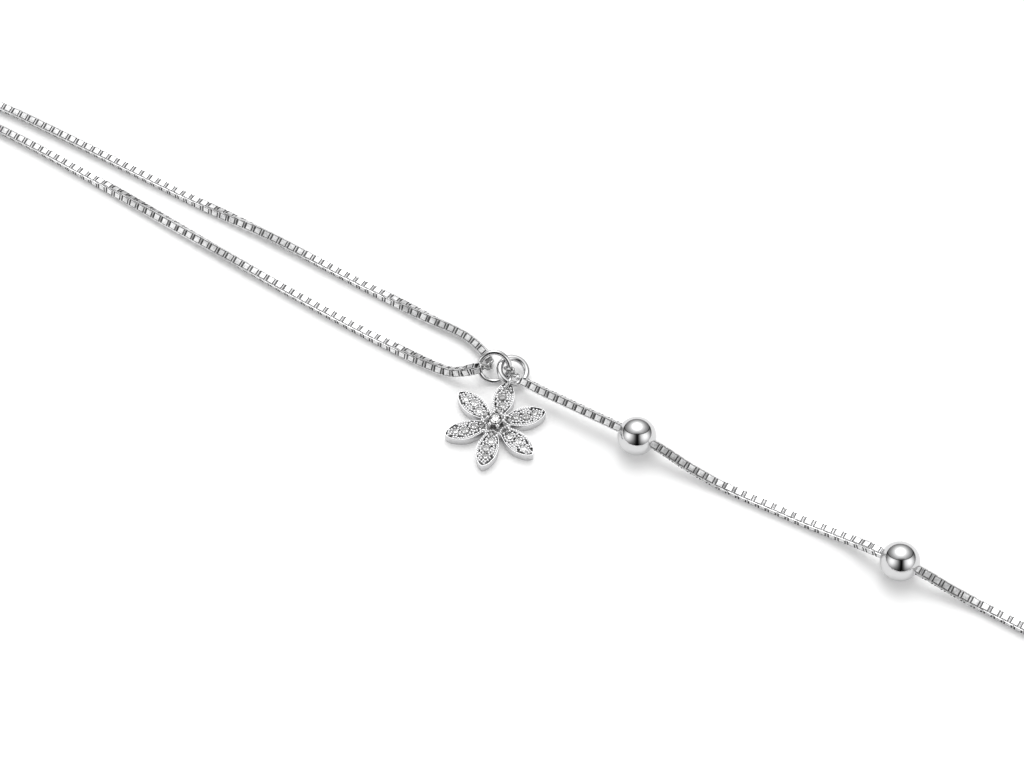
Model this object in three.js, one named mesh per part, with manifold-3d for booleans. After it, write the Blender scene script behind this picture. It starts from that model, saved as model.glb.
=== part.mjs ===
// A crystal ankle bracelet of polished white metal, in millimetres, +Z up, lying on a surface at z = 0.
// A folded box chain, drawn as two strands, hangs in a thin jump ring. A thicker jump ring carries a
// six-petal flower set with stones. A second box chain with round beads leads from the thin ring round to
// a plain barrel clasp, which closes the loop. The chains are plain tubes of the chain's outer size here.
// The origin is the middle of the flower's flat back.
import * as THREE from 'three';
import { mergeVertices } from 'three/addons/utils/BufferGeometryUtils.js';
import Module from 'manifold-3d';

const wasm = await Module();
wasm.setup();

// ---- driving dimensions ----
const petalCount = 6;
const petalReach = 4.0;          // flower centre to a petal's tip
const hangingPetalReach = 3.85;  // the petal that carries the bail is shorter
const petalHalfWidth = 0.84;
const petalStart = 0.25;         // where a petal's outline begins, from the flower's centre
const petalStations = 10;        // outline points on each side of a petal
const petalLean = 1.13;          // over 1, a petal's widest place lies outside its middle
const petalFullness = 0.82;      // under 1, a petal's sides are rounder than a sine
const tipInset = 2.2;            // a pointed tip draws back this many times as far as the sides
const flowerTurn = 75;           // direction of the hanging petal, degrees from +X
const flowerThickness = 0.8;
const rimWidth = 0.11;
const rimHeight = 0.13;          // the rim stands this far above the bed of stones
const tableShare = 0.58;         // a stone's table radius over its girdle radius
const crownShare = 0.28;         // a stone's crown height over its girdle radius
const seatShare = 0.8;           // a stone's seat radius over its girdle radius
const seatDepth = 0.2;           // a stone's solid reaches this far below its girdle
const tableRise = 0.04;          // petal stones' tables stand this far above the rim
const grainRadius = 0.12;
const grainRise = 0.03;          // a grain's middle stands this far above the bed
const cupRadius = 0.85;          // the foot of the cup under the centre stone
const cupStep = 0.7;             // height of that foot
const cupNeck = 0.45;            // the cup's upper part
const cupNeckFoot = 0.95;
const cupTop = 1.32;
const cupSides = 12;
const centreStoneRadius = 0.38;
const centreTableHeight = 1.52;
const prongRadius = 0.1;
const prongFoot = 0.5;
const prongBall = 0.16;
const prongCircle = 0.64;        // prongs stand on this radius round the centre stone
const ringSides = 16;
const wireSides = 6;
const chainRingRadius = 1.18;    // thin ring, to the middle of its wire
const chainRingWire = 0.205;
const charmRingRadius = 1.09;    // thick ring, to the middle of its wire
const charmRingWire = 0.26;
const ringGap = 0.1;             // clear air kept round the thick ring's wire in the bail
const bailRadius = 0.5;
const bailWire = 0.13;
const bailSides = 14;
const bailBearing = 252;         // where on the thick ring the bail hangs, degrees from +X
const chainRadius = 0.37;        // to the corners of the tube's eight sides
const chainSides = 8;
const beadRadius = 1.5;
const beadBoreRadius = 0.52;
const beadArcSteps = 10;
const startLinkRadius = 0.37;    // the small link that joins the beaded chain to the thin ring
const startLinkWire = 0.08;
const startLinkBearing = -10;    // where on the thin ring it hangs, degrees from +X
const neckRadius = 0.12;
const solderBall = 0.22;
const solderShift = new THREE.Vector3(0, -0.05, 0.1);
const claspLength = 6.4;
const claspRadius = 1.1;
const claspRounding = 0.35;
const claspWire = 0.2;
const singleEyeRadius = 0.75;    // the clasp's loop for the one beaded chain
const singleEyeReach = 0.55;     // its middle lies this far past the barrel's end
const doubleEyeRadius = 1;       // the clasp's loop for the folded chain's two ends
const doubleEyeReach = 0.75;
const endEyeRadius = 0.5;
const endEyeWire = 0.13;
const endEyeOverlap = 0.03;      // an end loop's wire runs this far into its chain
const smallSides = 12;           // sections round a small loop

// ---- places ----
const chainRingPlace = new THREE.Vector3(-0.12, 4.93, 1.14);
const chainRingSlope = 50;       // its far side stands up by this angle
const charmRingPlace = new THREE.Vector3(1.36, 4.76, 0.84);
const charmRingSlope = 10;
const charmRingLean = 15;        // its left side stands up by this angle
const claspPlace = new THREE.Vector3(-16, -35, claspRadius);

// Route of the folded chain's outer strand, from the fold in the thin ring round to the clasp.
const outerRoute = [
  [-0.42, 5.3, 0.76], [-0.52, 6.05, 0.5], [-1.1, 6.98, 0.44], [-2.03, 7.98, 0.4], [-3.46, 8.95, 0.37],
  [-4.87, 9.7, 0.37], [-11.69, 13.9, 0.37], [-18.6, 18.17, 0.37], [-23.65, 21.03, 0.37],
  [-36.04, 28.4, 0.37], [-41.56, 31.52, 0.37], [-45.2, 33.2, 0.37], [-48, 31.8, 0.37],
  [-48.8, 28.8, 0.37], [-48.2, 25, 0.37], [-45.5, 12, 0.37], [-42.6, -6, 0.37], [-40.2, -22, 0.37], [-38.3, -30, 0.37],
  [-33, -35, 0.37], [-27, -36.3, 0.37], [-23.4, -36, 0.6], [-21.29, -35.74, 1.1],
];

// Route of its inner strand, from the fold over the thin ring's left side round to the clasp.
const innerRoute = [
  [-0.48, 4.93, 1.2], [-0.86, 4.66, 1.6], [-1.45, 4.42, 1.72], [-2.1, 4.38, 1.48], [-2.95, 4.55, 0.97],
  [-3.8, 4.86, 0.62], [-5.1, 5.55, 0.4], [-5.93, 5.98, 0.37], [-9.12, 7.9, 0.37], [-15.6, 12.02, 0.37],
  [-23.8, 17.52, 0.37], [-36.83, 26.33, 0.37], [-41.3, 29.06, 0.37], [-44.4, 30.9, 0.37],
  [-46.7, 29.5, 0.37], [-46.6, 25.8, 0.37], [-43.9, 11.6, 0.37], [-41.1, -6.3, 0.37],
  [-38.8, -21.7, 0.37], [-37, -29, 0.37], [-32.4, -33.6, 0.37], [-27, -34.6, 0.37],
  [-23.4, -34.3, 0.6], [-21.29, -34.26, 1.1],
];

// Route of the beaded chain, from beside the thin ring through each bead round to the clasp.
const beadedRoute = [
  [1.7, 3.72, 1.4], [3.36, 2.65, 1.4], [5.4, 1.5, 1.4], [7.45, 0.32, 1.43], [9.34, -0.76, 1.48],
  [12.26, -2.5, 1.45], [14.85, -4.1, 0.85], [17.81, -5.72, 0.37], [22.23, -8, 0.37],
  [26.58, -10.3, 0.75], [28.53, -11.69, 1.45], [31.47, -13.39, 1.45], [33.6, -14.5, 0.85],
  [35.85, -15.7, 0.42], [38.56, -17.36, 0.37], [42.2, -19.7, 0.4], [44.4, -22.5, 0.9],
  [45.05, -24.7, 1.45], [45.15, -28.1, 1.45], [44.6, -31, 0.7], [42.2, -33.8, 0.37], [38, -35.2, 0.37],
  [33.4, -35.4, 0.6], [30.3, -35.3, 1.47], [26.9, -35.3, 1.47], [23.8, -35.2, 0.6],
  [17.5, -35, 0.37], [11.3, -35, 0.6], [8.2, -35, 1.47], [4.8, -35, 1.47], [1.7, -35, 0.6],
  [-4, -35, 0.37], [-8.2, -35, 0.6], [-11.03, -35, 1.1],
];

// A bead is threaded between two neighbours of the beaded route, given here by the first one's number.
const beadStations = [4, 10, 17, 23, 28];

// ---- materials ----
const silver = new THREE.MeshStandardMaterial({ color: 0xdcdcde, roughness: 0.12, metalness: 1 });
const satin = new THREE.MeshStandardMaterial({ color: 0xd2d2d6, roughness: 0.28, metalness: 1 });

// ---- helpers ----
const degrees = THREE.MathUtils.degToRad;
const vector = (p) => new THREE.Vector3(...p);
const upward = new THREE.Vector3(0, 0, 1);

function solidOf(geometry) {
  const plain = geometry.clone();
  plain.deleteAttribute('normal');
  plain.deleteAttribute('uv');
  const welded = mergeVertices(plain, 1e-4);
  const vertProperties = new Float32Array(welded.attributes.position.array);
  const triVerts = new Uint32Array(welded.index.array);
  return new wasm.Manifold(new wasm.Mesh({ numProp: 3, vertProperties, triVerts }));
}

function geometryOf(solid) {
  const mesh = solid.getMesh();
  const geometry = new THREE.BufferGeometry();
  geometry.setAttribute('position', new THREE.BufferAttribute(mesh.vertProperties, 3));
  geometry.setIndex(new THREE.BufferAttribute(mesh.triVerts, 1));
  return geometry;
}

function joined(geometries) {
  return geometries.map(solidOf).reduce((whole, piece) => whole.add(piece));
}

// A small closed loop of wire round `place`, whose hole runs along `axis`.
function loop(place, axis, radius, wire, sides = ringSides) {
  const geometry = new THREE.TorusGeometry(radius, wire, wireSides, sides);
  geometry.applyQuaternion(new THREE.Quaternion().setFromUnitVectors(upward, axis.clone().normalize()));
  return geometry.translate(place.x, place.y, place.z);
}

// A round rod between two points.
function rod(from, to, radius, sides = wireSides) {
  const circle = new THREE.EllipseCurve(0, 0, radius, radius).getPoints(sides).slice(0, sides);
  const settings = { extrudePath: new THREE.LineCurve3(from, to), steps: 1 };
  return new THREE.ExtrudeGeometry(new THREE.Shape(circle), settings);
}

// A curve that reaches its k-th point after k equal steps, so a tube along it has a section at each point.
class Route extends THREE.CatmullRomCurve3 {
  getPointAt(share, target) {
    return this.getPoint(share, target);
  }

  getTangentAt(share, target) {
    return this.getTangent(share, target);
  }
}

function chainTube(points) {
  const corners = Array.from({ length: chainSides }, (_, k) => {
    const angle = ((k + 0.5) / chainSides) * 2 * Math.PI;
    return new THREE.Vector2(chainRadius * Math.cos(angle), chainRadius * Math.sin(angle));
  });
  const settings = { extrudePath: new Route(points.map(vector)), steps: points.length - 1 };
  return new THREE.ExtrudeGeometry(new THREE.Shape(corners), settings);
}

// ---- flower ----
// A petal's outline, pointed at both ends and widest a little past the middle, shrunk by `inset`.
function petalShape(reach, inset) {
  const start = petalStart + inset;
  const length = reach - tipInset * inset - start;
  const side = (sign) => Array.from({ length: petalStations }, (_, k) => {
    const share = (k + 0.5) / petalStations;
    const width = (petalHalfWidth - inset) * Math.sin(Math.PI * share ** petalLean) ** petalFullness;
    return new THREE.Vector2(start + length * share, sign * width);
  });
  const tip = new THREE.Vector2(start + length, 0);
  const root = new THREE.Vector2(start, 0);
  return new THREE.Shape([root, ...side(-1), tip, ...side(1).reverse()]);
}

// The stones of one petal: distance from the flower's centre, distance off the petal's middle line, radius.
const petalStones = [
  { along: 1.08, aside: 0.04, radius: 0.25 },
  { along: 1.66, aside: -0.1, radius: 0.36 },
  { along: 2.42, aside: 0.1, radius: 0.39 },
  { along: 3.14, aside: -0.06, radius: 0.31 },
];

// The small beads of metal raised between the stones of one petal.
const petalGrains = [
  { along: 1.38, aside: 0.3 }, { along: 2.0, aside: 0.44 }, { along: 2.0, aside: -0.5 },
  { along: 2.8, aside: -0.44 }, { along: 2.88, aside: 0.36 }, { along: 1.35, aside: -0.38 },
];

// A cut stone with a flat table and eight crown facets, its table at `height` and its base sunk below.
function stone(along, aside, height, radius) {
  const girdle = height - crownShare * radius;
  const base = girdle - seatDepth;
  const profile = [
    [0, base], [radius * seatShare, base], [radius, girdle], [radius * tableShare, height], [0, height],
  ].map(([r, z]) => new THREE.Vector2(r, z));
  return new THREE.LatheGeometry(profile, 8).rotateX(Math.PI / 2).translate(along, aside, 0);
}

function petal(index) {
  const reach = index === 0 ? hangingPetalReach : petalReach;
  const plate = { depth: flowerThickness, bevelEnabled: false };
  const bedHeight = flowerThickness - rimHeight;
  const body = new THREE.ExtrudeGeometry(petalShape(reach, 0), plate);
  const recess = new THREE.ExtrudeGeometry(petalShape(reach, rimWidth), plate).translate(0, 0, bedHeight);
  const side = index % 2 === 0 ? 1 : -1;
  const stones = petalStones.map(({ along, aside, radius }) =>
    stone(along, side * aside, flowerThickness + tableRise, radius));
  const grains = petalGrains.map(({ along, aside }) =>
    new THREE.SphereGeometry(grainRadius, 6, 4).rotateX(Math.PI / 2)
      .translate(along, side * aside, bedHeight + grainRise));
  const whole = joined([...stones, ...grains]).add(solidOf(body).subtract(solidOf(recess)));
  const angle = flowerTurn + (index * 360) / petalCount;
  return whole.rotate([0, 0, angle]);
}

// The raised cup that holds the centre stone, with a prong over each gap between petals.
function centre() {
  const cupProfile = [
    [0, 0], [cupRadius, 0], [cupRadius, cupStep], [cupNeck, cupNeckFoot], [cupNeck, cupTop], [0, cupTop],
  ].map(([r, z]) => new THREE.Vector2(r, z));
  const cup = new THREE.LatheGeometry(cupProfile, cupSides).rotateX(Math.PI / 2);
  const parts = [cup, stone(0, 0, centreTableHeight, centreStoneRadius)];
  for (let k = 0; k < petalCount; k += 1) {
    const angle = degrees(flowerTurn + ((k + 0.5) * 360) / petalCount);
    const foot = new THREE.Vector3(prongCircle * Math.cos(angle), prongCircle * Math.sin(angle), prongFoot);
    const top = foot.clone().setZ(centreTableHeight - prongBall);
    parts.push(rod(foot, top, prongRadius));
    parts.push(new THREE.SphereGeometry(prongBall, 8, 6).rotateX(Math.PI / 2).translate(top.x, top.y, top.z));
  }
  return joined(parts);
}

const charmRingAxis = new THREE.Vector3(0, 0, 1)
  .applyAxisAngle(new THREE.Vector3(1, 0, 0), degrees(charmRingSlope))
  .applyAxisAngle(new THREE.Vector3(0, 1, 0), degrees(charmRingLean));
const chainRingAxis = new THREE.Vector3(0, 0, 1)
  .applyAxisAngle(new THREE.Vector3(1, 0, 0), degrees(chainRingSlope));

// The point of a ring's wire nearest to a direction in the plane of the surface.
function wirePoint(place, axis, radius, angle) {
  const outward = new THREE.Vector3(Math.cos(degrees(angle)), Math.sin(degrees(angle)), 0);
  return outward.projectOnPlane(axis).setLength(radius).add(place);
}

// The bail is an upright loop round the thick ring's wire, soldered on the hanging petal's tip.
function flower() {
  const bailPlace = wirePoint(charmRingPlace, charmRingAxis, charmRingRadius, bailBearing);
  const bailAxis = charmRingAxis.clone().cross(bailPlace.clone().sub(charmRingPlace));
  const bail = loop(bailPlace, bailAxis, bailRadius, bailWire, bailSides);
  const petals = Array.from({ length: petalCount }, (_, k) => petal(k));
  const whole = petals.reduce((sum, piece) => sum.add(piece)).add(centre()).add(solidOf(bail));
  const clearance = loop(charmRingPlace, charmRingAxis, charmRingRadius, charmRingWire + ringGap);
  return geometryOf(whole.subtract(solidOf(clearance)));
}

// ---- beads, chain ends and clasp ----
function beadAt(station) {
  const before = vector(beadedRoute[station]);
  const after = vector(beadedRoute[station + 1]);
  const halfAngle = Math.asin(beadBoreRadius / beadRadius);
  const profile = Array.from({ length: beadArcSteps + 1 }, (_, k) => {
    const angle = halfAngle + ((Math.PI - 2 * halfAngle) * k) / beadArcSteps;
    return new THREE.Vector2(beadRadius * Math.sin(angle), -beadRadius * Math.cos(angle));
  });
  const geometry = new THREE.LatheGeometry([...profile, profile[0]], ringSides);
  const along = after.clone().sub(before).setZ(0).normalize();
  const turn = new THREE.Quaternion().setFromUnitVectors(new THREE.Vector3(0, 1, 0), along);
  const middle = before.add(after).multiplyScalar(0.5).setZ(beadRadius);
  return geometry.applyQuaternion(turn).translate(middle.x, middle.y, middle.z);
}

// An upright loop at a chain's end, round the clasp's wire just past the tube's last section.
function endEye(route) {
  const end = vector(route.at(-1));
  const along = end.clone().sub(vector(route.at(-2))).setZ(0).normalize();
  const place = end.clone().addScaledVector(along, endEyeRadius - endEyeOverlap);
  return loop(place, new THREE.Vector3(-along.y, along.x, 0), endEyeRadius, endEyeWire, smallSides);
}

// The beaded chain starts with a small link round the thin ring's wire, on a short soldered neck.
function beadedChain() {
  const start = vector(beadedRoute[0]);
  const place = wirePoint(chainRingPlace, chainRingAxis, chainRingRadius, startLinkBearing);
  const tangent = chainRingAxis.clone().cross(place.clone().sub(chainRingPlace)).normalize();
  const along = start.clone().sub(place).projectOnPlane(tangent).normalize();
  const link = loop(place, tangent, startLinkRadius, startLinkWire, smallSides);
  const neck = rod(place.clone().addScaledVector(along, startLinkRadius), start, neckRadius);
  const ball = new THREE.SphereGeometry(solderBall, 10, 6).translate(...start.clone().add(solderShift));
  return geometryOf(joined([chainTube(beadedRoute), link, neck, ball, endEye(beadedRoute)]));
}

function clasp() {
  const half = claspLength / 2;
  const endRadius = claspRadius - claspRounding;
  const shoulder = half - claspRounding;
  const profile = [
    [0, -half], [endRadius, -half], [claspRadius, -shoulder],
    [claspRadius, shoulder], [endRadius, half], [0, half],
  ].map(([r, y]) => new THREE.Vector2(r, y));
  const barrel = new THREE.LatheGeometry(profile, ringSides).rotateZ(Math.PI / 2);
  const singlePlace = new THREE.Vector3(half + singleEyeReach, 0, 0);
  const doublePlace = new THREE.Vector3(-half - doubleEyeReach, 0, 0);
  const singleEye = loop(singlePlace, upward, singleEyeRadius, claspWire);
  const doubleEye = loop(doublePlace, upward, doubleEyeRadius, claspWire);
  return geometryOf(joined([barrel, singleEye, doubleEye]));
}

// ---- assembly ----
const bracelet = new THREE.Group();

function add(name, geometry, material, place) {
  const mesh = new THREE.Mesh(geometry, material);
  mesh.name = name;
  if (place) {
    mesh.position.copy(place);
  }
  bracelet.add(mesh);
}

add('flower_charm', flower(), satin);
add('chain_ring', loop(chainRingPlace, chainRingAxis, chainRingRadius, chainRingWire), silver);
add('charm_ring', loop(charmRingPlace, charmRingAxis, charmRingRadius, charmRingWire), silver);
add('folded_chain_outer', geometryOf(joined([chainTube(outerRoute), endEye(outerRoute)])), silver);
add('folded_chain_inner', geometryOf(joined([chainTube(innerRoute), endEye(innerRoute)])), silver);
add('beaded_chain', beadedChain(), silver);
beadStations.forEach((station, k) => add(`bead_${k + 1}`, beadAt(station), silver));
add('barrel_clasp', clasp(), silver, claspPlace);

export default bracelet;
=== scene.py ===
# A crystal ankle bracelet, laid down as a closed loop:
# two box chains, five beads, two rings and a flower set with stones.
import math
from bisect import bisect_right

import bmesh
import bpy
from mathutils import Matrix, Quaternion, Vector


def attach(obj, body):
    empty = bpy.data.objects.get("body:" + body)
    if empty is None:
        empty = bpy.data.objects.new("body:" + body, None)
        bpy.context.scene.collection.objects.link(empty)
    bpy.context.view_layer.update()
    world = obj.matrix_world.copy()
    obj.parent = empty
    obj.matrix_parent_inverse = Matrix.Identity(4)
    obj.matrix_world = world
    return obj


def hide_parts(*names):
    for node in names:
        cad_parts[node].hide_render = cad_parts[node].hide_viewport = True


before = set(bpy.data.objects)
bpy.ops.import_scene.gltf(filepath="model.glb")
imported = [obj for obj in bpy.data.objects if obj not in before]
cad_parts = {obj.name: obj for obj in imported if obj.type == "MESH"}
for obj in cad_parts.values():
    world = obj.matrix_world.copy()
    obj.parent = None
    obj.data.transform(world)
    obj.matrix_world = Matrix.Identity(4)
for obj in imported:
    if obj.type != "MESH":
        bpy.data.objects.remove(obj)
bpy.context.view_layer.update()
mm = 0.001


def inMm(*values):
    return Vector(value * mm for value in values)


def startFresh():  # object mode, with nothing selected
    if bpy.context.object and bpy.context.object.mode != "OBJECT":
        bpy.ops.object.mode_set(mode="OBJECT")
    bpy.ops.object.select_all(action="DESELECT")


def activate(piece):
    startFresh()
    piece.select_set(True)
    bpy.context.view_layer.objects.active = piece


def bake(piece):  # modifiers applied, and the piece's place moved into its mesh
    activate(piece)
    for modifier in list(piece.modifiers):
        bpy.ops.object.modifier_apply(modifier=modifier.name)
    bpy.ops.object.transform_apply(location=True, rotation=True, scale=True)
    return piece


def joined(pieces, name):
    startFresh()
    for piece in pieces:
        piece.select_set(True)
    bpy.context.view_layer.objects.active = pieces[0]
    if len(pieces) > 1:
        bpy.ops.object.join()
    pieces[0].name = name
    pieces[0].data.name = name
    return bake(pieces[0])


def copyAt(piece, matrix):  # a copy with its own mesh, set down at a place
    twin = piece.copy()
    twin.data = piece.data.copy()
    twin.matrix_world = matrix
    bpy.context.collection.objects.link(twin)
    return twin


def throwAway(piece):
    bpy.data.objects.remove(piece, do_unlink=True)


def pick(kind, test):  # in edit mode, selects only the faces or edges that pass the test
    mesh = bmesh.from_edit_mesh(bpy.context.object.data)
    bpy.ops.mesh.select_all(action="DESELECT")
    bpy.ops.mesh.select_mode(type={"faces": "FACE", "edges": "EDGE"}[kind])
    for part in getattr(mesh, kind):
        if test(part):
            part.select_set(True)
    mesh.select_flush_mode()
    bmesh.update_edit_mesh(bpy.context.object.data)


def middle(edge):
    return (edge.verts[0].co + edge.verts[1].co) / 2


def smoothed(piece, degrees):  # edges sharper than this stay crisp
    activate(piece)
    bpy.ops.object.shade_smooth_by_angle(angle=math.radians(degrees))
    return piece


def dress(piece, material, node):  # the finish, and the CAD node it stands for
    piece.data.materials.clear()
    piece.data.materials.append(material)
    settle(piece, node)


def settle(piece, node):  # for a piece that already wears its finishes
    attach(piece, "root")
    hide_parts(node)


cameraSizes = {
    "lens": 91.4,
    "sensor": 36,
    "place": (1.27, -106.31, 170.2),
    "lookDown": 57,  # degrees below level
    "clip": (0.01, 20),  # in metres
}


def makeCamera():
    data = bpy.data.cameras.new("camera")
    data.lens = cameraSizes["lens"]
    data.sensor_width = cameraSizes["sensor"]
    data.clip_start, data.clip_end = cameraSizes["clip"]
    camera = bpy.data.objects.new("camera", data)
    camera.location = inMm(*cameraSizes["place"])
    camera.rotation_euler = (math.radians(90 - cameraSizes["lookDown"]), 0, 0)
    bpy.context.collection.objects.link(camera)
    bpy.context.scene.camera = camera


stageSizes = {
    "floorSide": 6.0,  # in metres
    "floorDrop": 0.02,  # in mm, so that the floor clears what lies on it
    "floorColour": (0.93, 0.93, 0.93, 1),
    "floorRoughness": 0.9,
    "floorGlow": 0.14,  # light that comes up through the floor
    "backdrop": 1.2,  # brightness behind the floor's far edge
    "glow": 0.02,  # brightness where no lamp reaches
    "gapSide": 0.42,  # half-width of the dark gap that the camera looks through
    "gapTop": (0.5, 0.1),  # where that gap ends overhead, and how soon it fades
    "hoodHeight": 50,  # the overhead lamp's hood faces this way, in degrees above the back
    "hoodReach": 0.473,  # cosine of its half-angle
    "seam": 0.05,  # width of the dark seam round it
}

lampSizes = [  # bearing from +Y and height in degrees, brightness, softness in radians
    {"bearing": 0, "height": 61, "bright": 2.1, "soft": 0.48, "hooded": True},
    {"bearing": 0, "height": 62, "bright": 3, "soft": 0.2, "hooded": True},
    {"bearing": -108, "height": 31, "bright": 1.65, "soft": 0.36, "hooded": False},
    {"bearing": 117, "height": 34, "bright": 1.7, "soft": 0.4, "hooded": False},
]


def makeFloor():
    startFresh()
    bpy.ops.mesh.primitive_plane_add(
        size=stageSizes["floorSide"], location=inMm(0, 0, -stageSizes["floorDrop"]))
    floor = bpy.context.object
    floor.name = "floor"
    material = bpy.data.materials.new("paleFloor")
    material.use_nodes = True
    shader = material.node_tree.nodes["Principled BSDF"]
    shader.inputs["Base Color"].default_value = stageSizes["floorColour"]
    shader.inputs["Roughness"].default_value = stageSizes["floorRoughness"]
    shader.inputs["Specular IOR Level"].default_value = 0
    shader.inputs["Emission Color"].default_value = (1, 1, 1, 1)
    shader.inputs["Emission Strength"].default_value = stageSizes["floorGlow"]
    floor.data.materials.append(material)


def makeSurround():  # a tent of soft lamps with a dark gap for the camera
    world = bpy.data.worlds.new("surround")
    world.use_nodes = True
    tree = world.node_tree
    place = tree.nodes.new("ShaderNodeTexCoord").outputs["Generated"]

    def combine(operation, first, second):
        node = tree.nodes.new("ShaderNodeMath")
        node.operation = operation
        for socket, value in zip(node.inputs, (first, second)):
            if isinstance(value, (int, float)):
                socket.default_value = value
            else:
                tree.links.new(value, socket)
        return node.outputs[0]

    def fade(value, low, high):
        node = tree.nodes.new("ShaderNodeMapRange")
        node.interpolation_type = "SMOOTHSTEP"
        node.inputs["From Min"].default_value = low
        node.inputs["From Max"].default_value = high
        tree.links.new(value, node.inputs["Value"])
        return node.outputs["Result"]

    def toward(bearing, height):  # how nearly a ray points that way
        bearing, height = math.radians(bearing), math.radians(height)
        dot = tree.nodes.new("ShaderNodeVectorMath")
        dot.operation = "DOT_PRODUCT"
        flat = math.cos(height)
        dot.inputs[1].default_value = (
            math.sin(bearing) * flat, math.cos(bearing) * flat, math.sin(height))
        tree.links.new(place, dot.inputs[0])
        return dot.outputs["Value"]

    reach, seam = stageSizes["hoodReach"], stageSizes["seam"]
    hood = toward(0, stageSizes["hoodHeight"])
    inside = fade(hood, reach, reach + seam)
    outside = fade(combine("MULTIPLY", hood, -1.0), -reach, seam - reach)
    level = stageSizes["glow"]
    for lamp in lampSizes:
        nearness = combine("SUBTRACT", toward(lamp["bearing"], lamp["height"]), 1.0)
        away = combine("DIVIDE", nearness, lamp["soft"] ** 2)
        glow = combine("MULTIPLY", combine("EXPONENT", away, 0.0), lamp["bright"])
        level = combine("ADD", combine("MULTIPLY", glow, inside if lamp["hooded"] else outside), level)
    split = tree.nodes.new("ShaderNodeSeparateXYZ")
    tree.links.new(place, split.inputs[0])
    beside = fade(combine("ABSOLUTE", split.outputs["X"], 0.0), 0.0, stageSizes["gapSide"])
    over = fade(split.outputs["Y"], -stageSizes["gapTop"][0], -stageSizes["gapTop"][1])
    level = combine("MULTIPLY", level, combine("MAXIMUM", beside, over))
    tent = tree.nodes["Background"]
    tent.inputs["Color"].default_value = (1, 1, 1, 1)
    tree.links.new(level, tent.inputs["Strength"])
    pale = tree.nodes.new("ShaderNodeBackground")
    pale.inputs["Color"].default_value = (1, 1, 1, 1)
    pale.inputs["Strength"].default_value = stageSizes["backdrop"]
    path = tree.nodes.new("ShaderNodeLightPath")
    mix = tree.nodes.new("ShaderNodeMixShader")
    tree.links.new(path.outputs["Is Camera Ray"], mix.inputs[0])
    tree.links.new(tent.outputs[0], mix.inputs[1])
    tree.links.new(pale.outputs[0], mix.inputs[2])
    tree.links.new(mix.outputs[0], tree.nodes["World Output"].inputs["Surface"])
    bpy.context.scene.world = world


makeCamera()
makeFloor()
makeSurround()
bpy.context.scene.view_settings.view_transform = "Standard"
print("camera, floor and light are set")


metalSizes = {"detail": 3, "patchEdges": (0.4, 0.6), "relief": 0.01}  # relief in mm


def metal(name, colour, rough, spread, grain, bump, patches=0):  # polished, and nowhere quite even
    material = bpy.data.materials.new(name)
    material.use_nodes = True
    nodes = material.node_tree.nodes
    links = material.node_tree.links
    shader = nodes["Principled BSDF"]
    shader.inputs["Metallic"].default_value = 1
    place = nodes.new("ShaderNodeTexCoord")
    noise = nodes.new("ShaderNodeTexNoise")
    noise.inputs["Scale"].default_value = grain
    noise.inputs["Detail"].default_value = metalSizes["detail"]
    links.new(place.outputs["Object"], noise.inputs["Vector"])
    ramp = nodes.new("ShaderNodeMapRange")
    ramp.inputs["To Min"].default_value = rough - spread
    ramp.inputs["To Max"].default_value = rough + spread
    links.new(noise.outputs["Fac"], ramp.inputs["Value"])
    links.new(ramp.outputs["Result"], shader.inputs["Roughness"])
    patch = nodes.new("ShaderNodeMapRange")
    low, high = metalSizes["patchEdges"]
    patch.inputs["From Min"].default_value = low
    patch.inputs["From Max"].default_value = high
    links.new(noise.outputs["Fac"], patch.inputs["Value"])
    tint = nodes.new("ShaderNodeMix")
    tint.data_type = "RGBA"
    tint.inputs["A"].default_value = (*[channel * (1 - patches) for channel in colour], 1)
    tint.inputs["B"].default_value = (*colour, 1)
    links.new(patch.outputs["Result"], tint.inputs["Factor"])
    links.new(tint.outputs["Result"], shader.inputs["Base Color"])
    relief = nodes.new("ShaderNodeBump")
    relief.inputs["Strength"].default_value = bump
    relief.inputs["Distance"].default_value = metalSizes["relief"] * mm
    links.new(noise.outputs["Fac"], relief.inputs["Height"])
    links.new(relief.outputs["Normal"], shader.inputs["Normal"])
    return material


def crystal(name, index):
    material = bpy.data.materials.new(name)
    material.use_nodes = True
    shader = material.node_tree.nodes["Principled BSDF"]
    shader.inputs["Base Color"].default_value = (1, 1, 1, 1)
    shader.inputs["Transmission Weight"].default_value = 1
    shader.inputs["Roughness"].default_value = 0
    shader.inputs["IOR"].default_value = index
    return material


beadSilver = metal("beadSilver", (0.63, 0.63, 0.635), rough=0.07, spread=0.02, grain=900, bump=0.03)
# Painted shade: a darker copy of the chain's silver for the small round links, standing for their dark
# cells.
foldSilverPaintedShade = metal("foldSilverPaintedShade", (0.42, 0.42, 0.42), rough=0.22, spread=0.06, grain=2500, bump=0.1)
ringSilver = metal("ringSilver", (0.66, 0.66, 0.665), rough=0.1, spread=0.03, grain=1500, bump=0.06)
linkSilver = metal(
    "linkSilver", (0.9, 0.9, 0.905), rough=0.36, spread=0.1, grain=5500, bump=1, patches=0.22)
# Painted shade: near-black silver for the links' insides, groove bottoms and plate edges.
linkPaintedShade = metal("linkPaintedShade", (0.12, 0.12, 0.12), rough=0.4, spread=0.1, grain=2500, bump=0.1)
wallSilver = metal("wallSilver", (0.6, 0.6, 0.605), rough=0.32, spread=0.05, grain=3000, bump=0.1)
# Painted highlight: a lighter copy of the silver than the walls, for the petal rims and the bail.
rimSilverPaintedLight = metal("rimSilverPaintedLight", (0.7, 0.7, 0.705), rough=0.18, spread=0.04, grain=2500, bump=0.06)
# Painted light: a lighter copy of the silver, so that grains and prongs read white.
grainSilverPaintedLight = metal("grainSilverPaintedLight", (0.86, 0.86, 0.865), rough=0.2, spread=0.05, grain=2500, bump=0.06)
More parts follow.
